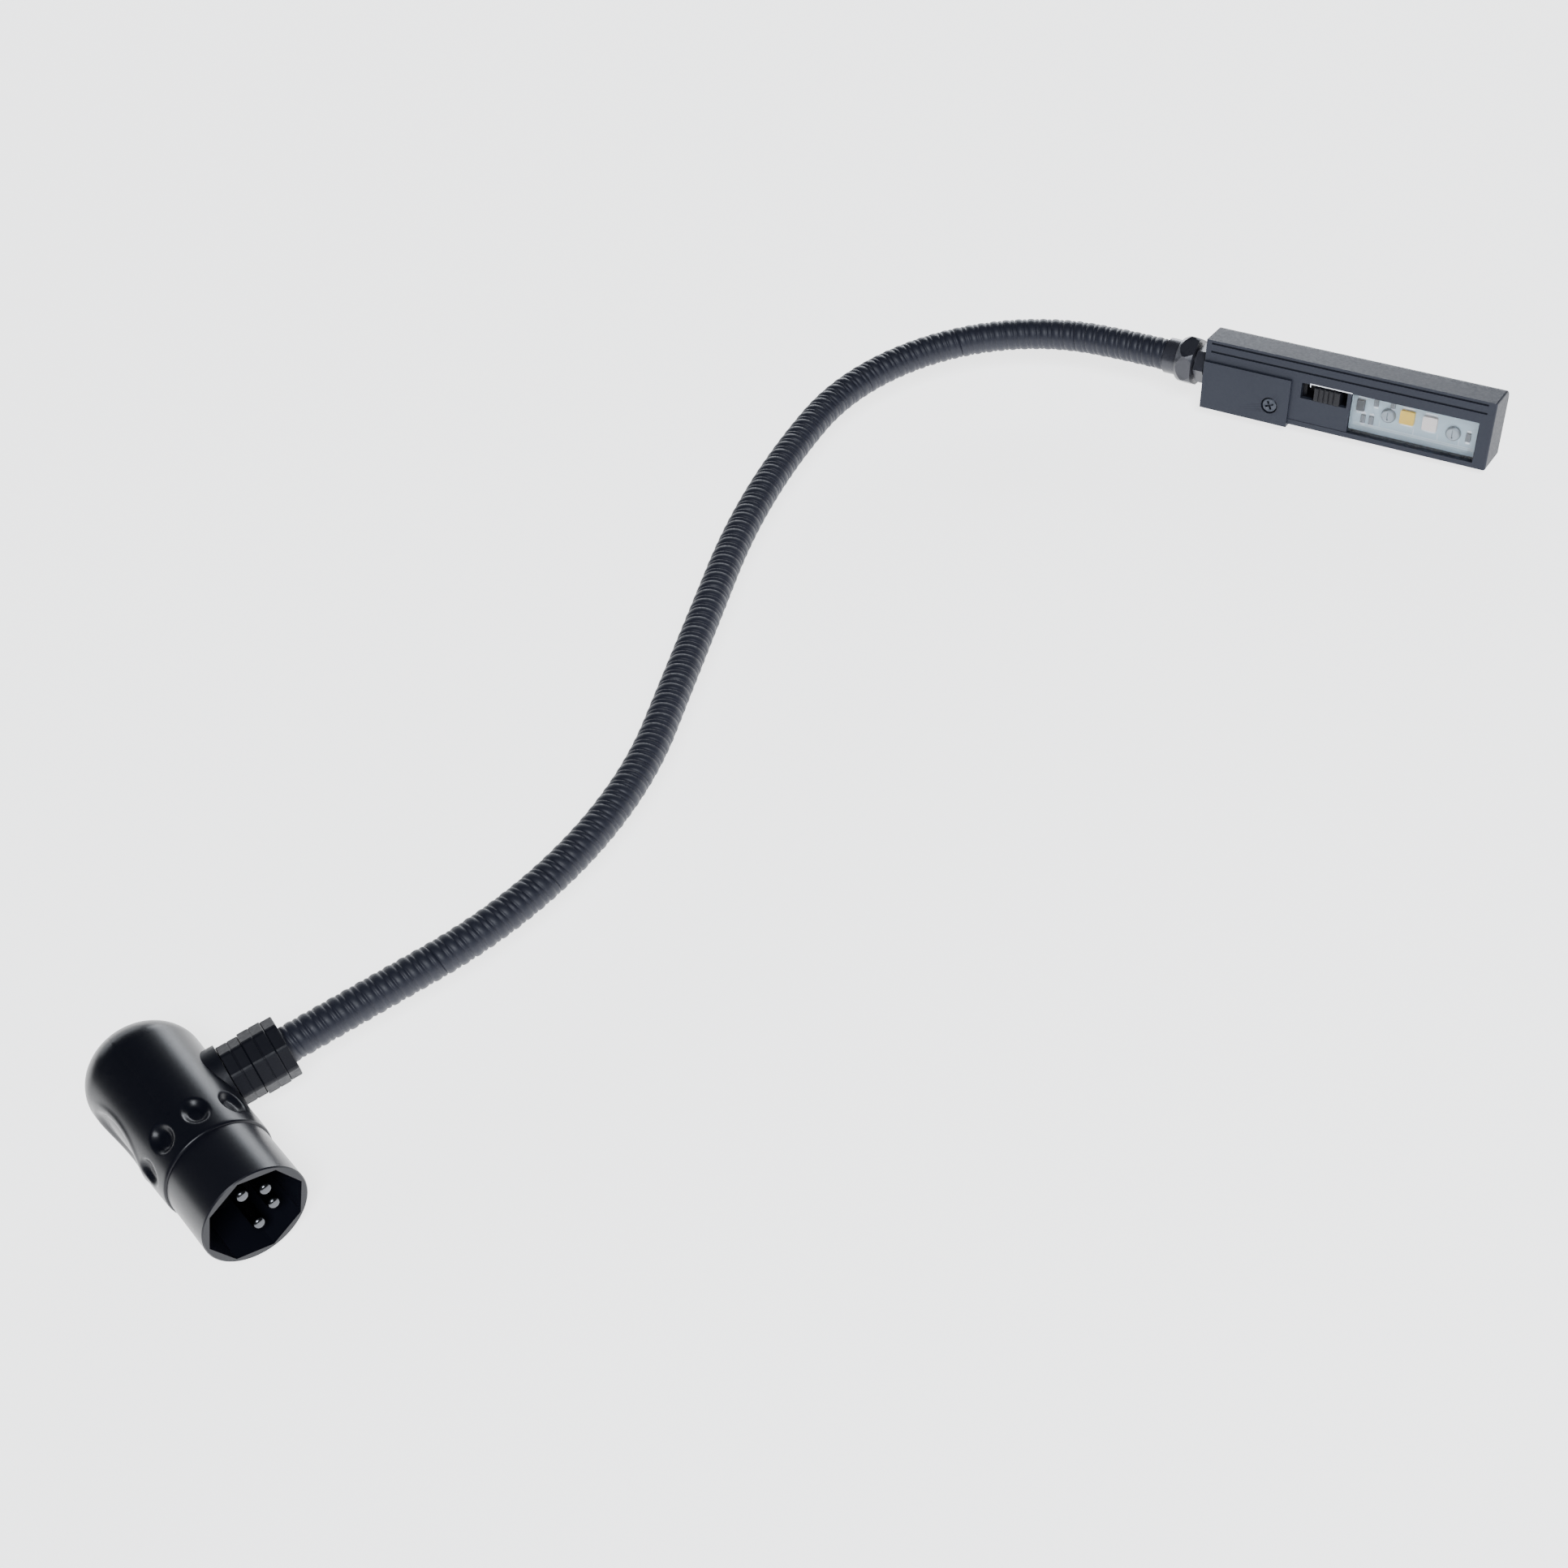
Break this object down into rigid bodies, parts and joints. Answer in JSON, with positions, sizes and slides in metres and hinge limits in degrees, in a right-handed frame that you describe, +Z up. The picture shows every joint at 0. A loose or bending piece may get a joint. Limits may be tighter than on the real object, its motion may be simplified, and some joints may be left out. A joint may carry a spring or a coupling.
{
  "type": "gooseneck plug-in lamp",
  "caption": "Small work lamp: a slim rectangular head with a windowed light strip and slide switch on a flexible metal gooseneck from a right-angle round pin plug.",
  "frame": {"origin": "centre of the plug's open mouth, in the plane of its rim", "axes": "+X is the way the neck leaves the plug, -Y is the way the contact pins point, +Z is up; the lamp lies on a table with the plug's axis and the neck's line level"},
  "size_m": [0.3051, 0.1242, 0.0213],
  "materials": {
    "plug_plastic": "black plastic, satin gloss",
    "shell_metal": "black coated, satin",
    "insulator": "black, matt",
    "pin_metal": "plated contact, satin",
    "screw_metal": "dark plated, satin",
    "neck_metal": "black, satin",
    "tip_metal": "blackened steel, satin",
    "cable_jacket": "matt",
    "wire_jacket": "matt",
    "head_metal": "dark grey anodised, satin",
    "window": "clear, polished",
    "board": "pale blue-white solder mask",
    "led_yellow": "translucent phosphor",
    "led_pale": "translucent phosphor",
    "chip": "matt",
    "switch_plastic": "matt"
  },
  "bodies": {
    "plug": {"plug_barrel": "plug_plastic", "barrel_end_cap": "plug_plastic", "plug_shell": "shell_metal", "plug_insert": "insulator", "contact_pins": "pin_metal", "insert_screw": "screw_metal", "outlet_collar": "plug_plastic", "gland_nut": "plug_plastic", "strain_relief_collet": "insulator", "neck_base_ferrule": "screw_metal", "plug_wires": "wire_jacket", "neck_root_section": "neck_metal", "neck_root_cable": "cable_jacket"},
    "link_01": {"neck_link_01": "neck_metal", "neck_cable_01": "cable_jacket"},
    "link_02": {"neck_link_02": "neck_metal", "neck_cable_02": "cable_jacket"},
    "link_03": {"neck_link_03": "neck_metal", "neck_cable_03": "cable_jacket"},
    "link_04": {"neck_link_04": "neck_metal", "neck_cable_04": "cable_jacket"},
    "link_05": {"neck_link_05": "neck_metal", "neck_cable_05": "cable_jacket"},
    "link_06": {"neck_link_06": "neck_metal", "neck_cable_06": "cable_jacket"},
    "link_07": {"neck_link_07": "neck_metal", "neck_cable_07": "cable_jacket"},
    "link_08": {"neck_link_08": "neck_metal", "neck_cable_08": "cable_jacket"},
    "link_09": {"neck_link_09": "neck_metal", "neck_cable_09": "cable_jacket"},
    "link_10": {"neck_link_10": "neck_metal", "neck_cable_10": "cable_jacket"},
    "neck_tip": {"neck_tip_section": "neck_metal", "neck_tip_cable": "cable_jacket", "tip_nipple": "tip_metal", "tip_collar": "tip_metal", "lock_nut": "tip_metal", "thin_nut": "tip_metal"},
    "head": {"head_housing": "head_metal", "ferrule_block": "head_metal", "rear_cover": "head_metal", "cover_screw": "screw_metal", "switch_plate": "head_metal", "window_lens": "window", "head_end_cap": "head_metal", "led_board": "board", "board_screws": "screw_metal", "board_standoffs": "pin_metal", "driver_chip": "chip", "board_resistors": "chip", "switch_body": "switch_plastic", "switch_terminals": "pin_metal", "head_wires": "wire_jacket", "warm_led": "led_yellow", "white_led": "led_pale"},
    "switch": {"switch_slider": "switch_plastic"}
  },
  "joints": [
    {"name": "neck_bend_01", "type": "hinge", "parent": "plug", "child": "link_01", "pos_m": [0.03864, 0.02461, 0], "axis": [0, 0, 1], "range_deg": [-30, 30]},
    {"name": "neck_bend_02", "type": "hinge", "parent": "link_01", "child": "link_02", "pos_m": [0.06475, 0.02221, 0], "axis": [-0.0248, 0.9997, 0], "range_deg": [-30, 30]},
    {"name": "neck_bend_03", "type": "hinge", "parent": "link_02", "child": "link_03", "pos_m": [0.09054, 0.02663, 0], "axis": [0, 0, 1], "range_deg": [-30, 30]},
    {"name": "neck_bend_04", "type": "hinge", "parent": "link_03", "child": "link_04", "pos_m": [0.11399, 0.03825, 0], "axis": [-0.5689, 0.8224, 0], "range_deg": [-30, 30]},
    {"name": "neck_bend_05", "type": "hinge", "parent": "link_04", "child": "link_05", "pos_m": [0.13539, 0.05348, 0], "axis": [0, 0, 1], "range_deg": [-30, 30]},
    {"name": "neck_bend_06", "type": "hinge", "parent": "link_05", "child": "link_06", "pos_m": [0.1568, 0.06867, 0], "axis": [-0.5621, 0.827, 0], "range_deg": [-30, 30]},
    {"name": "neck_bend_07", "type": "hinge", "parent": "link_06", "child": "link_07", "pos_m": [0.17948, 0.08188, 0], "axis": [0, 0, 1], "range_deg": [-30, 30]},
    {"name": "neck_bend_08", "type": "hinge", "parent": "link_07", "child": "link_08", "pos_m": [0.20379, 0.09172, 0], "axis": [-0.2629, 0.9648, 0], "range_deg": [-30, 30]},
    {"name": "neck_bend_09", "type": "hinge", "parent": "link_08", "child": "link_09", "pos_m": [0.22972, 0.09144, 0], "axis": [0, 0, 1], "range_deg": [-30, 30]},
    {"name": "neck_bend_10", "type": "hinge", "parent": "link_09", "child": "link_10", "pos_m": [0.25162, 0.07757, 0], "axis": [0.7455, 0.6665, 0], "range_deg": [-30, 30]},
    {"name": "neck_bend_11", "type": "hinge", "parent": "link_10", "child": "neck_tip", "pos_m": [0.2634, 0.05438, 0], "axis": [0, 0, 1], "range_deg": [-30, 30]},
    {"name": "head_swivel", "type": "hinge", "parent": "neck_tip", "child": "head", "pos_m": [0.2634, 0.05438, 0], "axis": [0.2998, -0.9537, -0.0258], "range_deg": [-90, 90]},
    {"name": "switch_slide", "type": "slide", "parent": "head", "child": "switch", "axis": [0.2998, -0.9537, -0.0258], "range_m": [-0.0021, 0.0014]}
  ]
}
